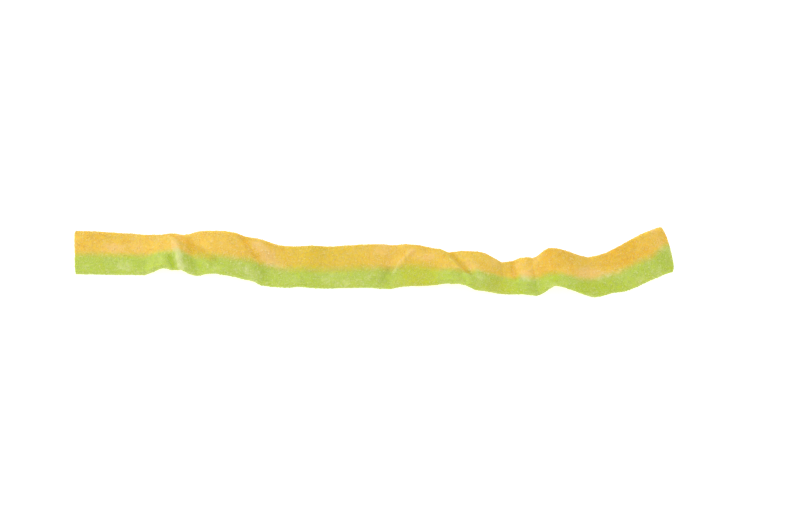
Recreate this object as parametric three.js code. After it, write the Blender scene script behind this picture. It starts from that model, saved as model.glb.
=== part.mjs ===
// A pickle candy belt: a flat ribbon of chewy candy in two stripes, lying crumpled on a table.
// A broad orange stripe runs along one edge and a narrower green one along the other. The two are
// drawn out side by side, so they share one wall, and each keeps the full thickness of the belt.
//
// The belt is a sheet bent in one way only: its middle surface is a plan (a centre line that wanders
// a little from side to side) lifted by folds, each of which crosses the belt from the near edge to
// the far one. Where no fold lifts it, its underside lies flat on the table.
//
// Frame: millimetres, +Z up, the table at Z = 0. +X runs along the belt from its flat end to its
// lifted end, and +Y points to the orange edge, which is the far one. The origin is on the table
// under the middle of the belt's box.
//
// Along the belt, s is the distance from the flat end as seen from above. Across it, v is -1 at the
// near (green) edge and +1 at the far (orange) edge.

import * as THREE from "three";

const BELT_WIDTH = 16;
const BELT_THICKNESS = 2.2;
const PLAN_LENGTH = 205.4;
const EDGE_RADIUS = 0.9; // rounding along both long edges

// The seam between the stripes, as a place across the belt, and where it wanders. by is how far,
// below 0 to the near side and above 0 to the far side.
const SEAM_AT = -0.12;
const SEAM_WANDERS = [
  { at: 42.5, by: 0.1, run: 5 },
  { at: 50, by: -0.1, run: 16 },
  { at: 130, by: -0.14, run: 14 },
  { at: 146.5, by: 0.1, run: 7 },
  { at: 168, by: -0.26, run: 14 },
  { at: 198, by: 0.06, run: 16 },
  { at: 205.4, by: 0.3, run: 6 },
];

// Stretches where an edge is drawn in, so that the belt is narrower there.
const DRAWN_IN = [
  { at: 25, near: 0, far: 0.4, run: 8 },
  { at: 131, near: 1.0, far: 0.2, run: 13 },
  { at: 147.5, near: 1.3, far: 1.9, run: 9 },
  { at: 158, near: 0, far: 0.9, run: 6 },
  { at: 163, near: 1.0, far: 0, run: 8 },
  { at: 172, near: 0.5, far: 0.8, run: 9 },
  { at: 183, near: 0.8, far: 0, run: 6 },
];

// The plan turns to the left by these angles, in degrees, between these places.
const FIRST_HEADING = -0.8;
const TURNS = [
  { from: 24, to: 42, angle: -6.4 },
  { from: 64, to: 82, angle: 6.6 },
  { from: 112, to: 128, angle: -8.0 },
  { from: 140, to: 152, angle: 9.2 },
  { from: 164, to: 172, angle: -2.4 },
  { from: 172, to: 185, angle: 18.2 },
];

// Both ends are cut across. The flat end's cut leans, the lifted end's bulges out in the middle,
// and the corners are a little blunt.
const FLAT_END_SKEW = -0.06;
const LIFTED_END_BULGE = 0.9;
const CORNER_BLUNTING = 0.4;

// Folds, in the order they come along the belt. Each is a smooth wave with its crest at s = at on
// the centre line. lean moves the crest back at the far edge and forward at the near edge. near,
// middle and far are how much it lifts each, and left and right are how far it reaches.
const FOLDS = [
  { name: "curled far corner", at: 0, lean: 0, near: 0.2, middle: 0, far: 2.2, left: 30, right: 26 },
  { name: "pinched near edge", at: 31.8, lean: 0, near: 5.6, middle: 0, far: 0.4, left: 9.3, right: 10.2 },
  { name: "first ridge", at: 36.4, lean: 3.2, near: 3.8, middle: 0, far: 1, left: 5.5, right: 5.6 },
  { name: "slanting valley", at: 38.9, lean: 4, near: -0.5, middle: 0, far: -0.3, left: 4, right: 5 },
  { name: "first hump", at: 48.3, lean: 2.2, near: 5.4, middle: 0, far: 6, left: 12.6, right: 11 },
  { name: "back of the hump", at: 57.5, lean: 2.5, near: 3.2, middle: 0, far: 5.4, left: 9, right: 11 },
  { name: "far edge behind it", at: 64, lean: 0, near: 0, middle: 0, far: 3, left: 8, right: 8.6 },
  { name: "first crease", at: 62.6, lean: 4.6, near: -0.8, middle: 0, far: -0.5, left: 3.5, right: 5.5 },
  { name: "low swell", at: 80, lean: -2, near: 1.5, middle: 0, far: 1.3, left: 7.2, right: 8 },
  { name: "raised far edge", at: 98, lean: 0, near: 1.2, middle: 0, far: 2, left: 17, right: 14 },
  { name: "near hollow", at: 109, lean: -1.5, near: -1.4, middle: 0, far: -0.5, left: 4.5, right: 4.5 },
  { name: "rise of the far edge", at: 113, lean: 0, near: 0, middle: 0, far: 3.1, left: 20, right: 18 },
  { name: "rise of the near edge", at: 122, lean: 0, near: 3.4, middle: 0, far: 0, left: 22, right: 26 },
  { name: "sharp crease", at: 134.8, lean: 5.4, near: -0.8, middle: 0, far: -0.5, left: 3.6, right: 3.6 },
  { name: "second rise", at: 138, lean: 0, near: 5, middle: 0, far: 2.9, left: 17, right: 15 },
  { name: "dip of the far edge", at: 150.3, lean: 0, near: 0, middle: 0, far: -2.4, left: 6, right: 7 },
  { name: "small facet", at: 155, lean: 0, near: 3.8, middle: 0, far: 2, left: 10, right: 8 },
  { name: "tall hump", at: 165.5, lean: 0.5, near: 8.6, middle: -1.4, far: 7.4, left: 7.6, right: 16.9 },
  { name: "lifted end", at: 205.4, lean: 0, near: 4, middle: -0.6, far: 11.2, left: 24, right: 30 },
];

// A lift of less than this is pressed out by the belt's own weight. It also rounds the bend where
// the belt leaves the table.
const PRESSED_FLAT = 0.6;

// Stations along the belt lie closer together where the folds are tight.
const FINEST_STEP = 0.72;
const COARSEST_STEP = 2.6;
const CHORD_ERROR = 0.05;
const STRAIGHTEST = 1e-3; // least curvature reckoned with

const ORANGE_COLUMNS = 5;
const GREEN_COLUMNS = 4;
const ROUNDING_COLUMNS = 3;

const halfWidth = BELT_WIDTH / 2;
const halfThickness = BELT_THICKNESS / 2;

// A smooth wave: 1 at distance 0, falling to 0 at -left and at +right.
function wave(distance, left, right) {
  const reach = distance < 0 ? -distance / left : distance / right;
  return reach < 1 ? 0.5 * (1 + Math.cos(Math.PI * reach)) : 0;
}

function smoothStep(t) {
  const u = THREE.MathUtils.clamp(t, 0, 1);
  return u * u * (3 - 2 * u);
}

// Height of the middle surface over the table. It never goes below half the thickness, and the
// change from lying to lifted is rounded.
function heightAt(s, v) {
  let lift = -PRESSED_FLAT;
  for (const fold of FOLDS) {
    const across = fold.near * (1 - v) / 2 + fold.far * (1 + v) / 2 + fold.middle * (1 - v * v);
    lift += across * wave(s - (fold.at - fold.lean * v), fold.left, fold.right);
  }
  if (lift <= -PRESSED_FLAT) return halfThickness;
  if (lift >= PRESSED_FLAT) return halfThickness + lift;
  return halfThickness + (lift + PRESSED_FLAT) ** 2 / (4 * PRESSED_FLAT);
}

function headingAt(s) {
  let degrees = FIRST_HEADING;
  for (const turn of TURNS) {
    degrees += turn.angle * smoothStep((s - turn.from) / (turn.to - turn.from));
  }
  return THREE.MathUtils.degToRad(degrees);
}

function seamAt(s) {
  let v = SEAM_AT;
  for (const wander of SEAM_WANDERS) {
    v += wander.by * wave(s - wander.at, wander.run, wander.run);
  }
  return v;
}

// The centre line in plan, summed up from its heading in small steps. It starts a little before the
// flat end and runs a little past the lifted one, for the cuts that lean or bulge.
const PLAN_STEP = 0.1;
const PLAN_MARGIN = 2;
const centreLine = [];
{
  let x = -PLAN_MARGIN;
  let y = 0;
  for (let s = -PLAN_MARGIN; s <= PLAN_LENGTH + PLAN_MARGIN; s += PLAN_STEP) {
    centreLine.push({ x, y });
    const heading = headingAt(s + PLAN_STEP / 2);
    x += PLAN_STEP * Math.cos(heading);
    y += PLAN_STEP * Math.sin(heading);
  }
}

function centreAt(s) {
  const place = (s + PLAN_MARGIN) / PLAN_STEP;
  const index = Math.min(Math.floor(place), centreLine.length - 2);
  const a = centreLine[index];
  const b = centreLine[index + 1];
  const t = place - index;
  return { x: THREE.MathUtils.lerp(a.x, b.x, t), y: THREE.MathUtils.lerp(a.y, b.y, t) };
}

// How far a point across the belt moves along it, so that the last stations have the shape of the
// cuts. The lean fades evenly along the belt, the bulge and the blunt corners only near the ends.
function cutShift(s, v) {
  const along = s / PLAN_LENGTH;
  const lean = v * halfWidth * FLAT_END_SKEW * (1 - along);
  const bulge = LIFTED_END_BULGE * (1 - v * v) * along ** 6;
  const blunting = CORNER_BLUNTING * v ** 10 * Math.abs(2 * along - 1) ** 30;
  return lean + bulge + (along < 0.5 ? blunting : -blunting);
}

// A point of the middle surface. Where one edge is higher than the other, the belt looks narrower
// from above, because its real width stays the same.
function surfacePoint(station, v) {
  const s = station + cutShift(station, v);
  const centre = centreAt(s);
  const heading = headingAt(s);
  const roll = heightAt(s, 1) - heightAt(s, -1);
  let across = v * Math.sqrt(halfWidth ** 2 - (roll / 2) ** 2);
  const level = 1 / Math.hypot(1, roll / BELT_WIDTH);
  for (const stretch of DRAWN_IN) {
    const share = level * wave(s - stretch.at, stretch.run, stretch.run);
    across += share * (stretch.near * (1 - v) / 2 - stretch.far * (1 + v) / 2);
  }
  return new THREE.Vector3(
    centre.x - Math.sin(heading) * across,
    centre.y + Math.cos(heading) * across,
    heightAt(s, v),
  );
}

// The upward normal of the middle surface.
function surfaceNormal(station, v) {
  const ds = 0.02;
  const dv = 0.003;
  const along = surfacePoint(station + ds, v).sub(surfacePoint(station - ds, v));
  const across = surfacePoint(station, v + dv).sub(surfacePoint(station, v - dv));
  return along.cross(across).normalize();
}

// The columns of one stripe, from the seam to its outer edge. Each gives the place across and half
// the thickness there, which falls off in a quarter circle over the last EDGE_RADIUS.
function stripeColumns(side, flatColumns) {
  const flatTo = 1 - EDGE_RADIUS / halfWidth;
  const columns = [];
  for (let i = 0; i <= flatColumns; i += 1) {
    const t = i / flatColumns;
    columns.push({ place: (s) => THREE.MathUtils.lerp(seamAt(s), side * flatTo, t), half: halfThickness });
  }
  for (let i = 1; i <= ROUNDING_COLUMNS; i += 1) {
    const angle = (i / ROUNDING_COLUMNS) * (Math.PI / 2);
    const v = side * (flatTo + (1 - flatTo) * Math.sin(angle));
    columns.push({ place: () => v, half: halfThickness - EDGE_RADIUS * (1 - Math.cos(angle)) });
  }
  return columns;
}

// How tightly the folds bend the belt along the line at v.
function curvatureAt(s, v) {
  const ds = 0.2;
  return Math.abs(heightAt(s + ds, v) - 2 * heightAt(s, v) + heightAt(s - ds, v)) / ds ** 2;
}

// The places of the stations. Each step suits the tightest bend at it and a little ahead of it.
function stations() {
  const linesAcross = [-1, -0.5, 0, 0.5, 1];
  const looksAhead = [0, 0.6, 1.2];
  const places = [0];
  let s = 0;
  while (s < PLAN_LENGTH) {
    let curvature = STRAIGHTEST;
    for (const v of linesAcross) {
      for (const ahead of looksAhead) {
        curvature = Math.max(curvature, curvatureAt(s + ahead, v));
      }
    }
    s += THREE.MathUtils.clamp(Math.sqrt(8 * CHORD_ERROR / curvature), FINEST_STEP, COARSEST_STEP);
    places.push(s);
  }
  // Evened out, so that the last station lies exactly on the cut.
  const stretch = PLAN_LENGTH / s;
  return places.map((place) => place * stretch);
}

// A closed shell round one stripe: an upper and a lower sheet of the same columns, joined along the
// outer edge, the seam and both cuts.
function stripeGeometry(side, flatColumns) {
  const columns = stripeColumns(side, flatColumns);
  const places = stations();
  const positions = [];
  for (const s of places) {
    for (const sheet of [1, -1]) {
      for (const column of columns) {
        const v = column.place(s);
        const point = surfacePoint(s, v).addScaledVector(surfaceNormal(s, v), sheet * column.half);
        positions.push(point.x, point.y, point.z);
      }
    }
  }
  const rowLength = columns.length;
  const upper = (station, column) => station * 2 * rowLength + column;
  const lower = (station, column) => upper(station, column) + rowLength;
  const indices = [];
  const quad = (a, b, c, d) => {
    if (side > 0) indices.push(a, b, c, a, c, d);
    else indices.push(a, c, b, a, d, c);
  };
  const last = rowLength - 1;
  const end = places.length - 1;
  for (let i = 0; i < end; i += 1) {
    for (let j = 0; j < last; j += 1) {
      quad(upper(i, j), upper(i + 1, j), upper(i + 1, j + 1), upper(i, j + 1));
      quad(lower(i, j), lower(i, j + 1), lower(i + 1, j + 1), lower(i + 1, j));
    }
    quad(upper(i, last), upper(i + 1, last), lower(i + 1, last), lower(i, last));
    quad(lower(i, 0), lower(i + 1, 0), upper(i + 1, 0), upper(i, 0));
  }
  for (let j = 0; j < last; j += 1) {
    quad(upper(0, j), upper(0, j + 1), lower(0, j + 1), lower(0, j));
    quad(upper(end, j), lower(end, j), lower(end, j + 1), upper(end, j + 1));
  }
  const geometry = new THREE.BufferGeometry();
  geometry.setAttribute("position", new THREE.Float32BufferAttribute(positions, 3));
  geometry.setIndex(indices);
  geometry.computeVertexNormals();
  return geometry;
}

function stripe(name, side, flatColumns, colour) {
  const material = new THREE.MeshStandardMaterial({ color: colour, roughness: 0.85, metalness: 0 });
  const mesh = new THREE.Mesh(stripeGeometry(side, flatColumns), material);
  mesh.name = name;
  return mesh;
}

const belt = new THREE.Group();
belt.add(stripe("orange_stripe", 1, ORANGE_COLUMNS, 0xf2c761));
belt.add(stripe("green_stripe", -1, GREEN_COLUMNS, 0xc2d269));

// The middle of the whole belt's box goes to X = 0, Y = 0.
const middle = new THREE.Box3().setFromObject(belt).getCenter(new THREE.Vector3());
for (const mesh of belt.children) {
  mesh.geometry.translate(-middle.x, -middle.y, 0);
}

export default belt;
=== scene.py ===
"""A pickle candy belt: a ribbon of chewy candy in an orange and a green stripe, frosted with fine sour
sugar and lying in soft folds on a table.

Every length below is in metres unless its name or its table says millimetres. Along the belt, s is
the distance from the flat cut end as seen from above. Across it, v is -1 at the near, green edge
and +1 at the far, orange one.
"""

import math

import bpy
import numpy as np
from bpy.props import FloatProperty, FloatVectorProperty, IntProperty, PointerProperty
from bpy.types import Operator, Panel, PropertyGroup
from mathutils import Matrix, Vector


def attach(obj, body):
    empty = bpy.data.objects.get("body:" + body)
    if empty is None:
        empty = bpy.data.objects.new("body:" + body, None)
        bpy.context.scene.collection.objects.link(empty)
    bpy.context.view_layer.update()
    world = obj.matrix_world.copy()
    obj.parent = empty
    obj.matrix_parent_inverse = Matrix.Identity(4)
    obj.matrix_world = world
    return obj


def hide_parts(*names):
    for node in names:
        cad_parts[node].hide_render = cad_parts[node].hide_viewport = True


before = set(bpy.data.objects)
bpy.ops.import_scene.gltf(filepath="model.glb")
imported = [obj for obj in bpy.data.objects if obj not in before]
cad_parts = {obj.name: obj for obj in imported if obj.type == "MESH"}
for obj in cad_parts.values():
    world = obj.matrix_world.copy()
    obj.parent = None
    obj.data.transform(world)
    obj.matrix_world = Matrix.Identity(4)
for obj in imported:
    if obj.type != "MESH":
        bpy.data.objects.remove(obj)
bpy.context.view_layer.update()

bl_info = {
    "name": "Pickle candy belt",
    "version": (1, 0, 0),
    "blender": (4, 5, 0),
    "location": "3D View > Sidebar > Candy belt",
    "description": "Makes a sugared two-stripe candy belt that lies in folds",
    "category": "Add Mesh",
}

MM = 0.001

# The folds, in millimetres, in the order they come along the belt. Each is a smooth wave with its
# crest at `at` on the centre line. lean moves the crest back at the far edge and forward at the
# near one. near, middle and far are how much it lifts each, left and right how far it reaches.
FOLDS = (
    # name                     at     lean  near  middle  far  left  right
    ("curled far corner",      0.0,   0.0,  0.2,  0.0,   2.2, 30.0, 26.0),
    ("pinched near edge",     31.8,   0.0,  5.6,  0.0,   0.4,  9.3, 10.2),
    ("first ridge",           36.4,   3.2,  3.8,  0.0,   1.0,  5.5,  5.6),
    ("slanting valley",       38.9,   4.0, -0.5,  0.0,  -0.3,  4.0,  5.0),
    ("first hump",            48.3,   2.2,  5.4,  0.0,   6.0, 12.6, 11.0),
    ("back of the hump",      57.5,   2.5,  3.2,  0.0,   5.4,  9.0, 11.0),
    ("far edge behind it",    64.0,   0.0,  0.0,  0.0,   3.0,  8.0,  8.6),
    ("first crease",          62.6,   4.6, -0.8,  0.0,  -0.5,  3.5,  5.5),
    ("low swell",             80.0,  -2.0,  1.5,  0.0,   1.3,  7.2,  8.0),
    ("raised far edge",       98.0,   0.0,  1.2,  0.0,   2.0, 17.0, 14.0),
    ("near hollow",          109.0,  -1.5, -1.4,  0.0,  -0.5,  4.5,  4.5),
    ("rise of the far edge", 113.0,   0.0,  0.0,  0.0,   3.1, 20.0, 18.0),
    ("rise of near edge",    122.0,   0.0,  3.4,  0.0,   0.0, 22.0, 26.0),
    ("sharp crease",         134.8,   5.4, -0.8,  0.0,  -0.5,  3.6,  3.6),
    ("second rise",          138.0,   0.0,  5.0,  0.0,   2.9, 17.0, 15.0),
    ("dip of the far edge",  150.3,   0.0,  0.0,  0.0,  -2.4,  6.0,  7.0),
    ("small facet",          155.0,   0.0,  3.8,  0.0,   2.0, 10.0,  8.0),
    ("tall hump",            165.5,   0.5,  8.6, -1.4,   7.4,  7.6, 16.9),
    ("lifted end",           205.4,   0.0,  4.0, -0.6,  11.2, 24.0, 30.0),
)

# Creases and ridges in the upper side alone, in millimetres. at, lean, left and right are as above.
# lift is how far each stands up, frosting how much paler (or, below 0, deeper) its colour is, and
# it runs across the belt between the last two places. That colour is partly thicker or thinner
# frosting and partly painted light and shade: paler on ridges and slopes, deeper in creases and
# hollows. Those that only change the colour come last.
CREASES = (
    # name                     at     lean  lift  frosting  left  right  from  to
    ("pinched ridge",         35.1,   2.9,  0.6,    1.5,    1.4,  1.6,  -1.5,  0.5),
    ("hollow beside it",      32.4,   3.0, -0.8,   -1.4,    2.8,  1.9,  -1.5, -0.35),
    ("slanting valley",       43.0,  11.0, -0.95,  -0.5,    4.2,  5.0,  -0.7,  0.85),
    ("hollow past the valley", 47.6,  2.4, -0.8,    0.2,    2.8,  2.6,  -0.85, -0.3),
    ("bent crease, far part", 63.1,   7.0, -0.35,  -0.8,    3.4,  2.2,   0.0,  0.85),
    ("bent crease, near part", 63.6,  5.4, -0.25,  -0.3,    2.4,  2.0,  -1.5,  0.1),
    # Painted light: this band is paler where the slope falls away from the key light.
    ("behind the bend",       67.6,   7.4,  0.35,   1.7,    3.6,  6.0,  -0.1,  0.75),
    ("short crease",          75.7,   4.7, -0.4,   -0.5,    1.4,  1.2,  -1.5, -0.2),
    ("dull hollow",          109.0,  -1.0, -0.6,    0.0,    4.0,  3.8,  -1.0, -0.1),
    ("ridge over the rise",  112.6,  -5.2,  0.45,   0.9,    1.6,  1.9,  -0.45, 0.75),
    ("sharp crease",         134.2,   6.2, -1.1,   -0.8,    2.8,  1.6,  -0.4,  1.5),
    ("beside the crease",    132.0,   4.0, -1.1,   -0.3,    3.4,  1.9,  -1.5, -0.3),
    ("behind the crease",    137.6,   6.0,  0.4,    0.5,    2.6,  3.2,  -0.6,  0.45),
    ("narrow dip",           152.3,   1.0, -0.5,   -0.9,    1.8,  1.4,  -0.35, 1.5),
    ("flat of the facet",    160.5,   0.5,  0.5,    0.0,    4.5,  4.0,  -1.5,  0.7),
    ("foot of the hump",     165.0,   1.0, -0.65,  -1.0,    5.0,  3.4,  -1.5, -0.3),
    ("edge at the foot",     165.0,   1.0, -0.75,   0.0,    5.5,  3.4,  -1.5, -0.7),
    ("pale at the flat end",  12.0,   0.0,  0.0,    0.7,    9.0, 12.0,  -0.05, 0.45),
    ("deep at its far edge",   9.0,   0.0,  0.0,   -0.4,   12.0, 16.0,   0.5,  1.5),
    ("pale beyond the hump",  62.6,   0.0,  0.0,    0.4,    9.0,  9.0,  -1.5, -0.45),
    ("pale at the far edge", 105.4,   0.0,  0.0,    0.7,    5.0,  6.0,   0.45, 1.5),
    ("deep past the rise",   118.0,   0.0,  0.0,   -1.2,   10.0, 18.0,  -1.5, -0.1),
    ("pale before the dip",  144.4,   0.0,  0.0,    1.0,    4.5,  4.5,   0.45, 1.5),
    ("deep along the side",  150.0,   0.0,  0.0,   -0.7,   12.0, 10.0,  -1.5, -0.2),
    # Painted light, in part: the facet's paler colour stands for light on a slope turned to it.
    ("pale on the facet",    155.0,   1.0,  0.0,    0.7,    3.8,  4.5,  -0.45, 0.6),
    ("deep up the tall hump", 163.5,  0.6,  0.0,   -1.0,    3.4,  4.0,  -0.3,  0.85),
    ("deep over the hump",   168.0,   0.0,  0.0,   -0.9,    6.0,  8.0,  -0.1,  1.5),
    ("pale behind the hump", 175.0,   0.0,  0.0,    0.8,    9.0, 14.0,  -0.25, 0.35),
    ("deep at the foot",     180.0,   0.0,  0.0,   -0.9,   14.0, 18.0,  -1.5, -0.4),
    ("deep on the lifted end", 191.0, 0.0,  0.0,   -1.0,   14.0, 12.0,   0.1,  1.5),
)

# Creases fade out over this much of v to each side of where they begin and end across the belt.
CREASE_END_SOFTNESS = 0.15

# Stretches of a more golden colour, in millimetres: at, lean, left, right, from and to across, share.
GOLDEN = (
    (42.0, 11.0, 6.0, 5.5, -0.3, 0.6, 1.1),
    (86.0, 0.0, 22.0, 24.0, -0.35, 1.5, 1.1),
    (119.0, 0.0, 13.0, 14.0, -1.5, 0.15, 0.85),
    (133.4, 6.2, 3.5, 3.0, -0.4, 1.5, 1.0),
    (136.0, 0.0, 30.0, 26.0, 0.0, 1.5, 0.4),
    (145.0, 0.0, 12.0, 10.0, -1.5, -0.2, 0.5),
    (147.5, 0.0, 6.0, 6.0, 0.1, 1.5, 0.35),
    (186.0, 0.0, 18.0, 15.0, -0.1, 1.5, 0.25),
)

# Stretches where an edge is drawn in, in millimetres: place, near edge, far edge, reach.
DRAWN_IN = (
    (25.0, 0.0, 0.4, 8.0),
    (131.0, 1.0, 0.2, 13.0),
    (147.5, 1.3, 1.9, 9.0),
    (158.0, 0.0, 0.9, 6.0),
    (163.0, 1.0, 0.0, 8.0),
    (172.0, 0.5, 0.8, 9.0),
    (183.0, 0.8, 0.0, 6.0),
)

# The seam between the stripes, as a v, and where it wanders: place in mm, shift in v (below 0 to
# the near side), reach in mm.
SEAM_AT = -0.12
SEAM_WANDERS = (
    (42.5, 0.1, 5.0),
    (50.0, -0.1, 16.0),
    (130.0, -0.14, 14.0),
    (146.5, 0.1, 7.0),
    (168.0, -0.26, 14.0),
    (198.0, 0.06, 16.0),
    (205.4, 0.3, 6.0),
)

# Seen from above, the belt turns to the left by these angles: from and to in mm, angle in degrees.
FIRST_HEADING = -0.8
TURNS = (
    (24.0, 42.0, -6.4),
    (64.0, 82.0, 6.6),
    (112.0, 128.0, -8.0),
    (140.0, 152.0, 9.2),
    (164.0, 172.0, -2.4),
    (172.0, 185.0, 18.2),
)

# The centre line starts a little before the flat cut end, at this place on the table, and goes on
# as far past the lifted one.
CENTRE_LINE_START = (-104.776 * MM, 4.878 * MM)
CENTRE_LINE_MARGIN = 2.0 * MM
CENTRE_LINE_STEP = 0.1 * MM

# The cuts. The flat end's leans at this slope. The lifted end's bulges out, and all corners are
# blunt, by these millimetres. The powers keep the bulge near its end and the bluntness at the corners.
FLAT_END_SKEW = -0.06
LIFTED_END_BULGE = 0.9
BULGE_POWER = 6
CORNER_BLUNTING = 0.4
BLUNTING_POWER_ACROSS = 10
BLUNTING_POWER_ALONG = 30

# Rows of points over the rounding of each cut, and how full a rounded edge is (2 is a circle).
CUT_ROWS = 8
ROUNDING_POWER = 2.5

# Points of the two skins that are this near each other become one.
MERGE_DISTANCE = 1e-7

# The stripes run into each other this far to each side of the seam, which is as ragged as this.
SEAM_BLUR = 2.0 * MM
SEAM_RAGGEDNESS = 1.8 * MM

# Patches and flecks make the frosting thicker and thinner by so much. At FULL_FROSTING the colour is
# all pale, and at as much below 0 all deep. The creases add their painted light and shade to the same number.
PATCH_SIZE = 5.0 * MM
PATCH_STRENGTH = 3.0
FLECK_SIZE = 1.3 * MM
FLECK_STRENGTH = 1.7
FULL_FROSTING = 1.1

# How much of the golden tint each stripe takes, and the size of the patches that it comes in.
GOLDEN_PATCH_SIZE = 9.0 * MM
GOLDEN_ON_GREEN = 0.35
GOLDEN_ON_ORANGE = 0.75

# The finest grain of the candy's skin, as bump.
SKIN_GRAIN_SIZE = 0.4 * MM
SKIN_GRAIN_HEIGHT = 0.15 * MM

# Undyed sugar shows in the colour of every grain by the first share, and in patches by up to the
# second share more. A patch fades in between these two values of its noise.
UNDYED_AT_LEAST = 0.06
UNDYED_BY_CHANCE = 0.2
SHADE_SIZE = 0.8 * MM
SHADE_EDGES = (-0.2, 0.2)

# Grains stray this far over the seam. Their sides are stretched by these factors. A face is underneath
# where the upward part of its normal is less than the first number, and not where it is over the last.
GRAINS_STRAY = 0.8 * MM
GRAIN_STRETCH = (0.7, 1.2)
UNDERNEATH = (-0.9, -0.5)


# Sizes and colours.


def length_property(name, description, value):
    return FloatProperty(name=name, description=description, default=value, unit="LENGTH")


def colour_property(name, description, value):
    return FloatVectorProperty(name=name, description=description, default=value, subtype="COLOR",
                               size=3, min=0, max=1)


class CandyBeltSizes(PropertyGroup):
    width: length_property("Width", "Width of the belt", 16 * MM)
    thickness: length_property("Thickness", "Thickness of the belt with its sugar", 2.2 * MM)
    length: length_property("Length", "Length of the belt as seen from above", 205.4 * MM)
    edge_rounding: length_property("Edge rounding", "How far in the long edges are rounded", 0.9 * MM)
    cut_rounding: length_property("Cut rounding", "How far in the two cuts are rounded", 0.35 * MM)
    pressed_flat: length_property("Pressed flat", "Lift that the belt's own weight presses out", 0.6 * MM)
    step: length_property("Step", "Length of a face along the belt", 0.36 * MM)
    columns: IntProperty(name="Columns", description="Faces across the belt on each side", default=64)
    lump_height: length_property("Lump height", "Height of the soft lumps in the candy", 0.3 * MM)
    lump_size: length_property("Lump size", "Distance from one lump to the next", 3.2 * MM)
    grain_height: length_property("Grain height", "Height of the grainy sugar crust", 0.16 * MM)
    grain_size: length_property("Grain size", "Distance from one grain of the crust to the next", 1.0 * MM)
    seed: IntProperty(name="Seed", description="Picks another set of lumps and grains", default=7)


class CandyBeltColours(PropertyGroup):
    orange: colour_property("Orange candy", "Colour of the far stripe", (0.83, 0.545, 0.055))
    # The pale colours also paint light on ridges and slopes, and the deep orange paints shade in creases and
    # hollows, besides thick and thin frosting.
    orange_pale: colour_property(
        "Pale orange", "The far stripe where its frosting is thick", (0.88, 0.585, 0.155))
    orange_deep: colour_property(
        "Deep orange", "The far stripe where its frosting is thin", (0.79, 0.465, 0.02))
    green: colour_property("Green candy", "Colour of the near stripe", (0.485, 0.595, 0.065))
    green_pale: colour_property(
        "Pale green", "The near stripe where its frosting is thick", (0.64, 0.70, 0.23))
    green_deep: colour_property(
        "Deep green", "The near stripe where its frosting is thin", (0.47, 0.585, 0.02))
    golden: colour_property("Golden", "Tint of the more yellow stretches of both stripes", (0.70, 0.50, 0.01))
    undyed: colour_property("Undyed sugar", "Sugar that the candy hasn't coloured", (1.0, 0.96, 0.7))


class CandyBeltSugar(PropertyGroup):
    coarse_per_area: FloatProperty(
        name="Coarse grains per area", description="Coarse grains on a square metre of belt", default=2.2e6)
    coarse_underneath: FloatProperty(
        name="Coarse grains underneath", description="How many as a share of those on top", default=0.6)
    coarse_smallest: length_property("Smallest coarse grain", "Side of a small coarse grain", 0.24 * MM)
    coarse_largest: length_property("Largest coarse grain", "Side of a large coarse grain", 0.44 * MM)
    fine_per_area: FloatProperty(
        name="Fine grains per area", description="Fine grains on a square metre of belt", default=6.2e6)
    fine_smallest: length_property("Smallest fine grain", "Side of a small fine grain", 0.12 * MM)
    fine_largest: length_property("Largest fine grain", "Side of a large fine grain", 0.26 * MM)
    sunk: FloatProperty(
        name="Sunk", description="How deep the middle of a grain lies in the candy, as a share of its side",
        default=0.2)
    seed: IntProperty(name="Seed", description="Picks another set of grains", default=3)


class CandyBeltStage(PropertyGroup):
    floor: colour_property("Floor", "Colour of the floor", (0.7, 0.7, 0.7))
    floor_size: length_property("Floor size", "Side of the square floor", 12.0)
    glow: FloatProperty(
        name="Floor glow", description="How strongly the floor is lit from below", default=0.7)
    elevation: FloatProperty(
        name="Camera elevation", description="Angle of the camera above the table",
        default=math.radians(60), subtype="ANGLE")
    distance: length_property("Camera distance", "From the camera to the belt", 1.2)
    focal_length: FloatProperty(
        name="Focal length", description="Lens of the camera, in millimetres", default=159.4, unit="CAMERA")
    aim: FloatVectorProperty(
        name="Aim", description="Point on the table that the camera looks at", subtype="XYZ",
        unit="LENGTH", size=3, default=(0.0069, 0.0033, 0.0))
    sky: FloatProperty(
        name="Light from all round", description="Strength of the white surroundings", default=0.95)
    key: FloatProperty(
        name="Key light", description="Power of the large light at the far left", default=6.7, unit="POWER")
    key_place: FloatVectorProperty(
        name="Key light place", description="Where the large light hangs", subtype="XYZ", unit="LENGTH",
        size=3, default=(-0.75, 0.55, 0.95))
    key_size: length_property("Key light size", "Width of the large light", 1.0)


# Building node trees.


class Wire:
    """An output of a node. Arithmetic on it adds Math nodes to its tree."""

    def __init__(self, tree, socket):
        self.tree = tree
        self.socket = socket

    def beside(self, name):
        """Another output of the same node."""
        return Wire(self.tree, self.socket.node.outputs[name])

    def maths(self, operation, *others):
        return maths(self.tree, operation, self, *others)

    def __add__(self, other):
        return self.maths("ADD", other)

    def __sub__(self, other):
        return self.maths("SUBTRACT", other)

    def __rsub__(self, other):
        return maths(self.tree, "SUBTRACT", other, self)

    def __mul__(self, other):
        return self.maths("MULTIPLY", other)

    def __truediv__(self, other):
        return self.maths("DIVIDE", other)

    def __rtruediv__(self, other):
        return maths(self.tree, "DIVIDE", other, self)

    def __pow__(self, other):
        return self.maths("POWER", other)

    __radd__ = __add__
    __rmul__ = __mul__

    def clamped(self, low, high):
        return self.maths("MAXIMUM", low).maths("MINIMUM", high)


def connect(tree, socket, value):
    if isinstance(value, Wire):
        tree.links.new(value.socket, socket)
    else:
        socket.default_value = value


def new_node(tree, kind):
    """A new node, with its place in the editor in rows of sixteen."""
    node = tree.nodes.new(kind)
    count = len(tree.nodes)
    node.location = (180 * (count % 16), -260 * (count // 16))
    return node


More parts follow.
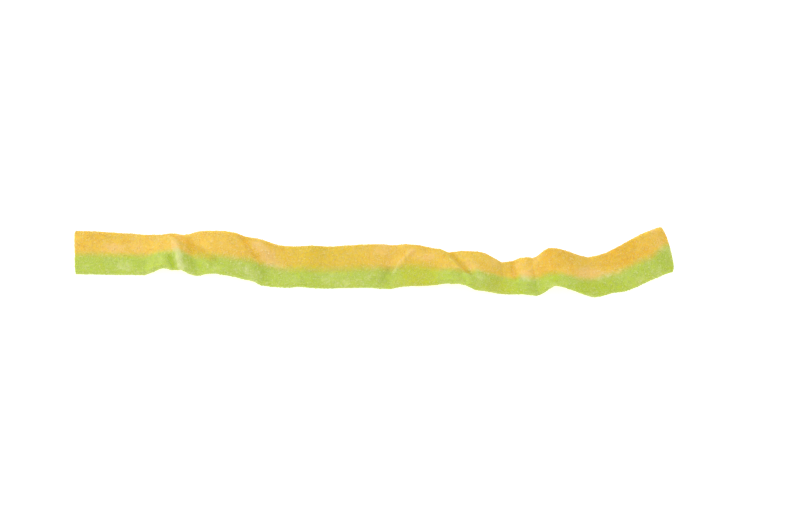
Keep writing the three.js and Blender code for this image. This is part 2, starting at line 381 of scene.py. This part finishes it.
def add(tree, kind, inputs=None, output=0, **settings):
    """Adds a node with its settings and inputs, and gives back one of its outputs."""
    node = new_node(tree, kind)
    for name, value in settings.items():
        setattr(node, name, value)
    for name, value in (inputs or {}).items():
        if isinstance(name, int):
            socket = node.inputs[name]
        else:
            socket = next(s for s in node.inputs if s.name == name and s.enabled)
        connect(tree, socket, value)
    if isinstance(output, int):
        return Wire(tree, node.outputs[output])
    return Wire(tree, next(s for s in node.outputs if s.name == output and s.enabled))


def maths(tree, operation, *values):
    return add(tree, "ShaderNodeMath", dict(enumerate(values)), operation=operation)


def smooth_step(wire, low, high):
    """0 where the wire is at low or less, 1 where it is at high or more, and smooth between."""
    return add(wire.tree, "ShaderNodeMapRange", {"Value": wire, "From Min": low, "From Max": high},
               interpolation_type="SMOOTHSTEP")


def noise(tree, size, seed, position=None, detail=1.0, roughness=0.5):
    """A soft random pattern from about -0.5 to 0.5, with this distance from one lump to the next."""
    inputs = {"W": seed, "Scale": 1 / size, "Detail": detail, "Roughness": roughness}
    if position is not None:
        inputs["Vector"] = position
    return add(tree, "ShaderNodeTexNoise", inputs, output="Fac", noise_dimensions="4D") - 0.5


def new_tree(name, inputs, outputs):
    """A node tree with these named inputs, as (name, kind, default), and outputs, as (name, kind)."""
    tree = bpy.data.node_groups.new(name, "GeometryNodeTree")
    for label, kind, default in inputs:
        socket = tree.interface.new_socket(label, in_out="INPUT", socket_type=kind)
        if default is not None:
            socket.default_value = default
    for label, kind in outputs:
        tree.interface.new_socket(label, in_out="OUTPUT", socket_type=kind)
    source = tree.nodes.new("NodeGroupInput")
    return tree, {label: Wire(tree, source.outputs[label]) for label, _, _ in inputs}


def finish_tree(tree, result):
    sink = tree.nodes.new("NodeGroupOutput")
    tree.links.new(result.socket, sink.inputs[0])


def use(tree, group, inputs, label=""):
    """A node that runs another tree."""
    node = new_node(tree, "GeometryNodeGroup")
    node.node_tree = group
    node.label = label
    for name, value in inputs.items():
        connect(tree, node.inputs[name], value)
    return Wire(tree, node.outputs[0])


def store(geometry, name, value):
    """Stores a number under this name at every point."""
    return add(geometry.tree, "GeometryNodeStoreNamedAttribute",
               {"Geometry": geometry, "Name": name, "Value": value}, data_type="FLOAT", domain="POINT")


def stored(tree, name, kind="FLOAT"):
    """What each point has stored under this name."""
    return add(tree, "GeometryNodeInputNamedAttribute", {"Name": name}, output="Attribute", data_type=kind)


def scaled(vector, factor):
    return add(vector.tree, "ShaderNodeVectorMath", {0: vector, "Scale": factor}, operation="SCALE")


def moved(geometry, offset):
    return add(geometry.tree, "GeometryNodeSetPosition", {"Geometry": geometry, "Offset": offset})


def chance(tree, kind, low, high, seed):
    """A number or a vector that each point gets by chance."""
    return add(tree, "FunctionNodeRandomValue", {"Min": low, "Max": high, "Seed": seed}, output="Value",
               data_type=kind)


FLOAT = "NodeSocketFloat"
GEOMETRY = "NodeSocketGeometry"
INTEGER = "NodeSocketInt"
MATERIAL = "NodeSocketMaterial"


# The belt's shape.


def wave_tree():
    """A smooth wave: 1 at distance 0, falling to 0 at left before it and at right after it."""
    tree, given = new_tree(
        "Wave",
        [("Distance", FLOAT, 0.0), ("Left", FLOAT, 10 * MM), ("Right", FLOAT, 10 * MM)],
        [("Height", FLOAT)],
    )
    reach = maths(tree, "MAXIMUM", given["Distance"] / given["Right"], -1 * given["Distance"] / given["Left"])
    height = 0.5 + 0.5 * (math.pi * reach.maths("MINIMUM", 1.0)).maths("COSINE")
    finish_tree(tree, height)
    return tree


def fold_tree(wave):
    """How much one fold lifts a point of the belt."""
    names = ("Along", "Across", "At", "Lean", "Near", "Middle", "Far", "Left", "Right")
    tree, given = new_tree("Fold", [(name, FLOAT, 0.0) for name in names], [("Lift", FLOAT)])
    across = given["Across"]
    distance = given["Along"] - given["At"] + given["Lean"] * across
    crest = use(tree, wave, {"Distance": distance, "Left": given["Left"], "Right": given["Right"]})
    tilt = 0.5 * (given["Near"] * (1 - across) + given["Far"] * (1 + across))
    finish_tree(tree, crest * (tilt + given["Middle"] * (1 - across * across)))
    return tree


def crease_tree(wave):
    """How much one crease counts at a point of the belt, from 0 to 1."""
    names = ("Along", "Across", "At", "Lean", "Left", "Right", "From", "To")
    tree, given = new_tree("Crease", [(name, FLOAT, 0.0) for name in names], [("Share", FLOAT)])
    across = given["Across"]
    distance = given["Along"] - given["At"] + given["Lean"] * across
    share = use(tree, wave, {"Distance": distance, "Left": given["Left"], "Right": given["Right"]})

    def passed(place):
        return smooth_step(across, place - CREASE_END_SOFTNESS, place + CREASE_END_SOFTNESS)

    finish_tree(tree, share * passed(given["From"]) * (1 - passed(given["To"])))
    return tree


def height_tree(fold):
    """Height of the middle of the belt over the table: all folds together, with what the belt's
    own weight presses out taken off."""
    tree, given = new_tree(
        "Height over the table",
        [("Along", FLOAT, 0.0), ("Across", FLOAT, 0.0), ("Thickness", FLOAT, 2.2 * MM),
         ("Pressed flat", FLOAT, 0.6 * MM)],
        [("Height", FLOAT)],
    )
    lifts = []
    for name, *sizes in FOLDS:
        inputs = {"Along": given["Along"], "Across": given["Across"]}
        for key, size in zip(("At", "Lean", "Near", "Middle", "Far", "Left", "Right"), sizes):
            inputs[key] = size * MM
        lifts.append(use(tree, fold, inputs, label=name))
    lift = sum(lifts, 0.0)
    pressed = given["Pressed flat"]
    rising = lift.clamped(0.0, 2 * pressed)
    height = rising * rising / (4 * pressed) + (lift - 2 * pressed).maths("MAXIMUM", 0.0)
    finish_tree(tree, 0.5 * given["Thickness"] + height)
    return tree


def rounding(distance, radius):
    """Share of the full thickness at a distance from an edge that is rounded over the radius."""
    left = 1 - (distance / radius).clamped(0.0, 1.0)
    return (1 - left ** ROUNDING_POWER).maths("MAXIMUM", 0.0) ** (1 / ROUNDING_POWER)


def belt_tree(fold_heights, crease, wave):
    """Folds a flat sheet, gives it its thickness with rounded edges, and creases and roughens its skin."""
    tree, given = new_tree(
        "Candy belt",
        [("Sheet", GEOMETRY, None), ("Width", FLOAT, 16 * MM), ("Thickness", FLOAT, 2.2 * MM),
         ("Edge rounding", FLOAT, 0.9 * MM), ("Cut rounding", FLOAT, 0.35 * MM),
         ("Pressed flat", FLOAT, 0.6 * MM), ("Lump height", FLOAT, 0.3 * MM),
         ("Lump size", FLOAT, 3.2 * MM), ("Grain height", FLOAT, 0.16 * MM),
         ("Grain size", FLOAT, 1.0 * MM), ("Seed", FLOAT, 0.0), ("Candy", MATERIAL, None)],
        [("Belt", GEOMETRY)],
    )
    along, across = stored(tree, "along"), stored(tree, "across")
    width, thickness = given["Width"], given["Thickness"]

    def wave_at(at, reach):
        """A wave along the belt, its place and its reach to each side in millimetres."""
        return use(tree, wave, {"Distance": along - at * MM, "Left": reach * MM, "Right": reach * MM})

    def height(place_across):
        return use(tree, fold_heights, {"Along": along, "Across": place_across, "Thickness": thickness,
                                        "Pressed flat": given["Pressed flat"]})

    # The middle surface. Where one edge is higher than the other, the belt looks narrower from
    # above, because its real width stays the same.
    roll = height(1.0) - height(-1.0)
    sideways = across * (0.25 * (width * width - roll * roll)).maths("SQRT")
    level = (1 + (roll / width) ** 2.0).maths("INVERSE_SQRT")
    for at, near, far, reach in DRAWN_IN:
        share = level * wave_at(at, reach)
        sideways = sideways + 0.5 * MM * share * (near * (1 - across) - far * (1 + across))
    heading = stored(tree, "heading")
    shift = add(tree, "ShaderNodeCombineXYZ", {
        "X": -1 * heading.maths("SINE") * sideways,
        "Y": heading.maths("COSINE") * sideways,
        "Z": height(across)})
    centre = stored(tree, "centre", "FLOAT_VECTOR")
    place = add(tree, "ShaderNodeVectorMath", {0: centre, 1: shift}, operation="ADD")
    sheet = add(tree, "GeometryNodeSetPosition", {"Geometry": given["Sheet"], "Position": place})

    # How far each point is from the seam as it wanders, positive on the orange side.
    seam = sum((by * wave_at(at, reach) for at, by, reach in SEAM_WANDERS), SEAM_AT)
    sheet = store(sheet, "from_seam", 0.5 * (across - seam) * width)

    def stretch(at, lean, left, right, start, end, label=""):
        """How much a crease or a stretch of colour counts, its sizes along the belt in millimetres."""
        return use(tree, crease, {
            "Along": along, "Across": across, "At": at * MM, "Lean": lean * MM, "Left": left * MM,
            "Right": right * MM, "From": start, "To": end}, label=label)

    # The creases: how far they lift the upper side, and how pale or deep they leave its colour, which
    # is frosting and painted light and shade together.
    lifts, frostings = [], []
    for name, at, lean, lift, frosting, *reach in CREASES:
        share = stretch(at, lean, *reach, label=name)
        lifts.append(lift * MM * share)
        frostings.append(frosting * share)
    sheet = store(sheet, "golden", sum((amount * stretch(*places) for *places, amount in GOLDEN), 0.0))

    # The upper and the lower skin, half the thickness to each side, meeting at the rounded edges.
    from_edge = 0.5 * width * (1 - across.maths("ABSOLUTE"))
    full = rounding(from_edge, given["Edge rounding"]) * rounding(
        stored(tree, "from_cut"), given["Cut rounding"])
    normal = add(tree, "GeometryNodeInputNormal")

    def skin(distance, frosting):
        return store(moved(sheet, scaled(normal, distance * full)), "frosting", frosting)

    under = add(tree, "GeometryNodeFlipFaces", {"Mesh": skin(-0.5 * thickness, 0.0)})
    upper = skin(0.5 * thickness + sum(lifts, 0.0), sum(frostings, 0.0))
    joined = add(tree, "GeometryNodeJoinGeometry")
    for part in (under, upper):
        tree.links.new(part.socket, joined.socket.node.inputs[0])
    closed = add(tree, "GeometryNodeMergeByDistance", {"Geometry": joined, "Distance": MERGE_DISTANCE})

    # Soft lumps and a grainy crust. Nothing is pushed down into the table.
    lumps = noise(tree, given["Lump size"], given["Seed"], detail=1.0)
    grains = noise(tree, given["Grain size"], given["Seed"] + 5.0, detail=2.0, roughness=0.6)
    bump = given["Lump height"] * lumps + given["Grain height"] * grains
    rough = moved(closed, scaled(normal, bump))
    x = add(tree, "ShaderNodeSeparateXYZ", {"Vector": add(tree, "GeometryNodeInputPosition")})
    settled = add(tree, "ShaderNodeCombineXYZ", {
        "X": x, "Y": x.beside("Y"), "Z": x.beside("Z").maths("MAXIMUM", 0.0)})
    rough = add(tree, "GeometryNodeSetPosition", {"Geometry": rough, "Position": settled})

    for name in ("centre", "heading", "from_cut"):
        rough = add(tree, "GeometryNodeRemoveAttribute", {"Geometry": rough, "Name": name})
    smooth = add(tree, "GeometryNodeSetShadeSmooth", {"Geometry": rough})
    real = add(tree, "GeometryNodeRealizeInstances", {"Geometry": smooth})
    finish_tree(tree, add(tree, "GeometryNodeSetMaterial", {"Geometry": real, "Material": given["Candy"]}))
    return tree


def heading_at(s):
    """Which way the centre line heads at these places along the belt, in radians."""
    degrees = np.full_like(s, FIRST_HEADING)
    for start, end, angle in TURNS:
        t = np.clip((s / MM - start) / (end - start), 0, 1)
        degrees += angle * t * t * (3 - 2 * t)
    return np.radians(degrees)


def centre_line(length):
    """Places along the belt and the centre line there, summed up from its heading in small steps."""
    step = CENTRE_LINE_STEP
    s = np.arange(-CENTRE_LINE_MARGIN, length + CENTRE_LINE_MARGIN, step)
    heading = heading_at(s + step / 2)
    x = CENTRE_LINE_START[0] + np.concatenate(([0], np.cumsum(step * np.cos(heading))[:-1]))
    y = CENTRE_LINE_START[1] + np.concatenate(([0], np.cumsum(step * np.sin(heading))[:-1]))
    return s, x, y


def cut_shift(station, v, sizes):
    """How far a point moves along the belt, so that the first and last rows have the shape of the cuts."""
    share = station / sizes.length
    lean = v * sizes.width / 2 * FLAT_END_SKEW * (1 - share)
    bulge = LIFTED_END_BULGE * MM * (1 - v * v) * share ** BULGE_POWER
    at_corner = v ** BLUNTING_POWER_ACROSS * np.abs(2 * share - 1) ** BLUNTING_POWER_ALONG
    blunting = CORNER_BLUNTING * MM * at_corner
    return lean + bulge + np.where(share < 0.5, blunting, -blunting)


def flat_sheet(sizes):
    """The belt before it is folded: an open sheet of quads. Each point knows its place along and
    across the belt, where the centre line is beside it, and how far it is from the nearest cut."""
    rounded = sizes.cut_rounding * (1 - np.cos(np.linspace(0, math.pi / 2, CUT_ROWS)))
    inner = np.linspace(sizes.cut_rounding, sizes.length - sizes.cut_rounding,
                        round(sizes.length / sizes.step))
    stations = np.concatenate((rounded[:-1], inner, (sizes.length - rounded[::-1])[1:]))
    places = np.sin(np.linspace(-math.pi / 2, math.pi / 2, sizes.columns + 1))
    station, across = (grid.ravel() for grid in np.meshgrid(stations, places, indexing="ij"))
    along = station + cut_shift(station, across, sizes)
    s, x, y = centre_line(sizes.length)

    rows, columns = len(stations), len(places)
    corner = (np.arange(rows - 1)[:, None] * columns + np.arange(columns - 1)).ravel()
    faces = np.column_stack((corner, corner + columns, corner + columns + 1, corner + 1))
    points = np.column_stack((along, across * sizes.width / 2, np.zeros_like(along)))
    mesh = bpy.data.meshes.new("candy_belt_sheet")
    mesh.from_pydata(points.tolist(), [], faces.tolist())

    centre = np.column_stack((np.interp(along, s, x), np.interp(along, s, y), np.zeros_like(along)))
    for name, kind, key, values in (
        ("along", "FLOAT", "value", along),
        ("across", "FLOAT", "value", across),
        ("heading", "FLOAT", "value", heading_at(along)),
        ("from_cut", "FLOAT", "value", np.minimum(station, sizes.length - station)),
        ("centre", "FLOAT_VECTOR", "vector", centre),
    ):
        mesh.attributes.new(name, kind, "POINT").data.foreach_set(key, values.astype(np.float32).ravel())
    return mesh


def piece_from(name, mesh, tree, inputs):
    """A finished piece: a plain mesh made by running a node tree on another mesh."""
    piece = bpy.data.objects.new(name, mesh)
    bpy.context.scene.collection.objects.link(piece)
    modifier = piece.modifiers.new(tree.name, "NODES")
    modifier.node_group = tree
    for item in tree.interface.items_tree:
        if item.in_out == "INPUT" and item.name in inputs:
            modifier[item.identifier] = inputs[item.name]
    graph = bpy.context.evaluated_depsgraph_get()
    made = bpy.data.meshes.new_from_object(piece.evaluated_get(graph), preserve_all_data_layers=True,
                                           depsgraph=graph)
    if not made.polygons:
        raise RuntimeError(f"{name} came out empty")
    made.name = name
    piece.modifiers.remove(modifier)
    piece.data = made
    return piece


# Materials.


def mix(tree, share, a, b):
    """Colour a where the share is 0, and b where it is 1."""
    return add(tree, "ShaderNodeMix", {"Factor": share, "A": a, "B": b}, output="Result",
               data_type="RGBA")


def candy_colour(tree, colours, position):
    """The colour of the candy and its sugar coat, at a point that knows how far it is from the seam
    and how thick its coat is, with painted light and painted shade on ridges, slopes, creases and
    hollows carried in the same number. The stripes run into each other softly and a little raggedly."""

    def known(name):
        return add(tree, "ShaderNodeAttribute", output="Fac", attribute_name=name)

    ragged = noise(tree, SEAM_RAGGEDNESS, 1.0, position, detail=3.0, roughness=0.6) * SEAM_RAGGEDNESS
    orange_side = smooth_step(known("from_seam") + ragged, -SEAM_BLUR, SEAM_BLUR)

    patches = noise(tree, PATCH_SIZE, 2.0, position, detail=2.0)
    flecks = noise(tree, FLECK_SIZE, 3.0, position, detail=2.0, roughness=0.6)
    frosting = known("frosting") + PATCH_STRENGTH * patches + FLECK_STRENGTH * flecks
    pale = smooth_step(frosting, 0.0, FULL_FROSTING)
    deep = smooth_step(-1 * frosting, 0.0, FULL_FROSTING)
    golden = (known("golden") + noise(tree, GOLDEN_PATCH_SIZE, 5.0, position)).clamped(0.0, 1.0)

    # Pale and deep stand for thick and thin frosting and also for painted light and painted shade.
    def stripe(plain, with_frosting, without, share):
        paler = mix(tree, pale, (*plain, 1.0), (*with_frosting, 1.0))
        frosted = mix(tree, deep, paler, (*without, 1.0))
        return mix(tree, share * golden, frosted, (*colours.golden, 1.0))

    green = stripe(colours.green, colours.green_pale, colours.green_deep, GOLDEN_ON_GREEN)
    orange = stripe(colours.orange, colours.orange_pale, colours.orange_deep, GOLDEN_ON_ORANGE)
    return mix(tree, orange_side, green, orange)


def new_material(name):
    """An empty material, with the place on the belt that its patterns follow."""
    material = bpy.data.materials.new(name)
    material.use_nodes = True
    tree = material.node_tree
    tree.nodes.clear()
    return material, tree, add(tree, "ShaderNodeTexCoord", output="Object")


def finish_material(tree, inputs):
    """Gives the material a Principled shader with these inputs."""
    shader = add(tree, "ShaderNodeBsdfPrincipled", inputs)
    output = tree.nodes.new("ShaderNodeOutputMaterial")
    tree.links.new(shader.socket, output.inputs["Surface"])


def candy_material(colours):
    """Chewy candy under its sugar coat: light spreads softly inside it, and its skin is finely grained."""
    material, tree, position = new_material("frosted_candy")
    grain = noise(tree, SKIN_GRAIN_SIZE, 4.0, position, detail=2.0, roughness=0.7)
    finish_material(tree, {
        "Base Color": candy_colour(tree, colours, position),
        "Roughness": 0.6,
        "Subsurface Weight": 0.6,
        "Subsurface Radius": (1.0, 0.75, 0.3),
        "Subsurface Scale": 1.2 * MM,
        "Specular IOR Level": 0.3,
        "Sheen Weight": 0.1,
        "Normal": add(tree, "ShaderNodeBump",
                      {"Height": grain, "Strength": 0.2, "Distance": SKIN_GRAIN_HEIGHT}),
    })
    return material


def sugar_material(colours):
    """Sugar grains, dyed by the candy that they sit on but a little paler, each its own shade."""
    material, tree, position = new_material("sugar")
    shade = smooth_step(noise(tree, SHADE_SIZE, 6.0, position), *SHADE_EDGES)
    undyed = UNDYED_AT_LEAST + UNDYED_BY_CHANCE * shade
    finish_material(tree, {
        "Base Color": mix(tree, undyed, candy_colour(tree, colours, position), (*colours.undyed, 1.0)),
        "Roughness": 0.5,
        "Specular IOR Level": 0.3,
    })
    return material


# Sugar grains.


def sugar_tree():
    """Scatters sugar grains over one stripe, each turned and sized at random and sunk in a little."""
    tree, given = new_tree(
        "Sugar grains",
        [("Belt", GEOMETRY, None), ("Side", FLOAT, 1.0), ("Grains per area", FLOAT, 1e6),
         ("Underneath", FLOAT, 1.0), ("Smallest", FLOAT, 0.2 * MM), ("Largest", FLOAT, 0.5 * MM),
         ("Sunk", FLOAT, 0.2), ("Seed", INTEGER, 0), ("Sugar", MATERIAL, None)],
        [("Grains", GEOMETRY)],
    )

    # Which faces get grains: those of this stripe that are clear of the table, and fewer underneath.
    strayed = chance(tree, "FLOAT", -GRAINS_STRAY, GRAINS_STRAY, seed=4)
    this_side = ((stored(tree, "from_seam") + strayed) * given["Side"]).maths("GREATER_THAN", 0.0)
    here = add(tree, "GeometryNodeInputPosition")
    clear = add(tree, "ShaderNodeSeparateXYZ", {"Vector": here}, output="Z").maths(
        "GREATER_THAN", given["Largest"])
    upward = add(tree, "ShaderNodeSeparateXYZ", {"Vector": add(tree, "GeometryNodeInputNormal")}, output="Z")
    share = given["Underneath"] + (1 - given["Underneath"]) * smooth_step(upward, *UNDERNEATH)
    points = add(tree, "GeometryNodeDistributePointsOnFaces",
                 {"Mesh": given["Belt"], "Selection": this_side * clear,
                  "Density": given["Grains per area"] * share, "Seed": given["Seed"]},
                 distribute_method="RANDOM")

    # Each grain is a cube with unequal sides. Small ones are the most common.
    turn = chance(tree, "FLOAT_VECTOR", (0, 0, 0), (math.tau,) * 3, seed=1)
    size = chance(tree, "FLOAT", 0.0, 1.0, seed=2)
    side = given["Smallest"] + (given["Largest"] - given["Smallest"]) * size * size
    least, most = GRAIN_STRETCH
    sides = scaled(chance(tree, "FLOAT_VECTOR", (least,) * 3, (most,) * 3, seed=3), side)
    sunk = moved(points, scaled(points.beside("Normal"), -1 * given["Sunk"] * side))
    grains = add(tree, "GeometryNodeInstanceOnPoints",
                 {"Points": sunk, "Instance": add(tree, "GeometryNodeMeshCube"), "Rotation": turn,
                  "Scale": sides})
    real = add(tree, "GeometryNodeRealizeInstances", {"Geometry": grains})
    finish_tree(tree, add(tree, "GeometryNodeSetMaterial", {"Geometry": real, "Material": given["Sugar"]}))
    return tree


# Operators.


class OBJECT_OT_candy_belt(Operator):
    """Make the belt itself: both stripes as one folded ribbon"""

    bl_idname = "candy_belt.make_belt"
    bl_label = "Candy belt"

    def execute(self, context):
        sizes = context.scene.candy_belt_sizes
        wave = wave_tree()
        tree = belt_tree(height_tree(fold_tree(wave)), crease_tree(wave), wave)
        belt = piece_from("candy_belt", flat_sheet(sizes), tree, {
            "Width": sizes.width,
            "Thickness": sizes.thickness,
            "Edge rounding": sizes.edge_rounding,
            "Cut rounding": sizes.cut_rounding,
            "Pressed flat": sizes.pressed_flat,
            "Lump height": sizes.lump_height,
            "Lump size": sizes.lump_size,
            "Grain height": sizes.grain_height,
            "Grain size": sizes.grain_size,
            "Seed": float(sizes.seed),
            "Candy": candy_material(context.scene.candy_belt_colours),
        })
        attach(belt, "root")
        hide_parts("orange_stripe", "green_stripe")
        return {"FINISHED"}


class OBJECT_OT_candy_belt_sugar(Operator):
    """Scatter the sugar grains over both stripes"""

    bl_idname = "candy_belt.make_sugar"
    bl_label = "Sugar grains"

    def execute(self, context):
        sugar = context.scene.candy_belt_sugar
        belt = bpy.data.objects["candy_belt"]
        tree = sugar_tree()
        material = sugar_material(context.scene.candy_belt_colours)
        coarse = {"Grains per area": sugar.coarse_per_area, "Underneath": sugar.coarse_underneath,
                  "Smallest": sugar.coarse_smallest, "Largest": sugar.coarse_largest}
        fine = {"Grains per area": sugar.fine_per_area, "Underneath": 0.0,
                "Smallest": sugar.fine_smallest, "Largest": sugar.fine_largest}
        for seed, (name, slot, side, grain) in enumerate((
            ("sugar_on_orange", "orange_candy", 1.0, coarse),
            ("sugar_on_green", "green_candy", -1.0, coarse),
            ("fine_sugar_on_orange", "orange_candy", 1.0, fine),
            ("fine_sugar_on_green", "green_candy", -1.0, fine),
        ), start=sugar.seed):
            grains = piece_from(name, belt.data.copy(), tree, {
                **grain, "Side": side, "Sunk": sugar.sunk, "Seed": seed, "Sugar": material})
            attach(grains, "root")
        return {"FINISHED"}


class OBJECT_OT_candy_belt_stage(Operator):
    """Make the white floor, the soft lights and the camera"""

    bl_idname = "candy_belt.make_stage"
    bl_label = "Stage"

    def execute(self, context):
        stage = context.scene.candy_belt_stage
        scene = context.scene
        self.add_camera(scene, stage)
        self.add_floor(scene, stage)
        self.add_lights(scene, stage)
        scene.view_settings.view_transform = "Standard"
        scene.view_settings.look = "None"
        return {"FINISHED"}

    def add_camera(self, scene, stage):
        data = bpy.data.cameras.new("camera")
        data.lens = stage.focal_length
        data.sensor_width = 36
        data.clip_end = 20
        camera = bpy.data.objects.new("camera", data)
        scene.collection.objects.link(camera)
        aim = Vector(stage.aim)
        back = Vector((0, -math.cos(stage.elevation), math.sin(stage.elevation)))
        camera.location = aim + stage.distance * back
        camera.rotation_euler = back.to_track_quat("Z", "Y").to_euler()
        scene.camera = camera

    def add_floor(self, scene, stage):
        half = stage.floor_size / 2
        mesh = bpy.data.meshes.new("floor")
        mesh.from_pydata([(-half, -half, 0), (half, -half, 0), (half, half, 0), (-half, half, 0)], [],
                         [(0, 1, 2, 3)])
        material = bpy.data.materials.new("floor")
        material.use_nodes = True
        shader = material.node_tree.nodes["Principled BSDF"]
        shader.inputs["Base Color"].default_value = (*stage.floor, 1)
        shader.inputs["Roughness"].default_value = 0.9
        shader.inputs["Specular IOR Level"].default_value = 0.1
        shader.inputs["Emission Color"].default_value = (1, 1, 1, 1)
        shader.inputs["Emission Strength"].default_value = stage.glow
        mesh.materials.append(material)
        floor = bpy.data.objects.new("floor", mesh)
        scene.collection.objects.link(floor)

    def add_lights(self, scene, stage):
        world = bpy.data.worlds.new("white_surroundings")
        world.use_nodes = True
        background = world.node_tree.nodes["Background"]
        background.inputs["Color"].default_value = (1, 1, 1, 1)
        background.inputs["Strength"].default_value = stage.sky
        scene.world = world
        data = bpy.data.lights.new("key", "AREA")
        data.shape = "DISK"
        data.size = stage.key_size
        data.energy = stage.key
        key = bpy.data.objects.new("key", data)
        key.location = stage.key_place
        key.rotation_euler = key.location.to_track_quat("Z", "Y").to_euler()
        scene.collection.objects.link(key)


class VIEW3D_PT_candy_belt(Panel):
    """Makes the candy belt piece by piece"""

    bl_label = "Candy belt"
    bl_idname = "VIEW3D_PT_candy_belt"
    bl_space_type = "VIEW_3D"
    bl_region_type = "UI"
    bl_category = "Candy belt"

    def draw(self, context):
        layout = self.layout
        scene = context.scene
        for title, group in (
            ("Sizes", scene.candy_belt_sizes),
            ("Colours", scene.candy_belt_colours),
            ("Sugar", scene.candy_belt_sugar),
            ("Stage", scene.candy_belt_stage),
        ):
            box = layout.box()
            box.label(text=title)
            for name in group.__annotations__:
                box.prop(group, name)
        for operator in OPERATORS:
            layout.operator(operator.bl_idname)


OPERATORS = (OBJECT_OT_candy_belt_stage, OBJECT_OT_candy_belt, OBJECT_OT_candy_belt_sugar)
SETTINGS = (CandyBeltSizes, CandyBeltColours, CandyBeltSugar, CandyBeltStage)


def register():
    for cls in (*SETTINGS, *OPERATORS, VIEW3D_PT_candy_belt):
        bpy.utils.register_class(cls)
    bpy.types.Scene.candy_belt_sizes = PointerProperty(type=CandyBeltSizes)
    bpy.types.Scene.candy_belt_colours = PointerProperty(type=CandyBeltColours)
    bpy.types.Scene.candy_belt_sugar = PointerProperty(type=CandyBeltSugar)
    bpy.types.Scene.candy_belt_stage = PointerProperty(type=CandyBeltStage)


def unregister():
    for name in ("candy_belt_sizes", "candy_belt_colours", "candy_belt_sugar", "candy_belt_stage"):
        delattr(bpy.types.Scene, name)
    for cls in (VIEW3D_PT_candy_belt, *reversed(OPERATORS), *reversed(SETTINGS)):
        bpy.utils.unregister_class(cls)


def main():
    register()
    bpy.ops.candy_belt.make_stage()
    bpy.ops.candy_belt.make_belt()
    bpy.ops.candy_belt.make_sugar()


if __name__ == "__main__":
    main()
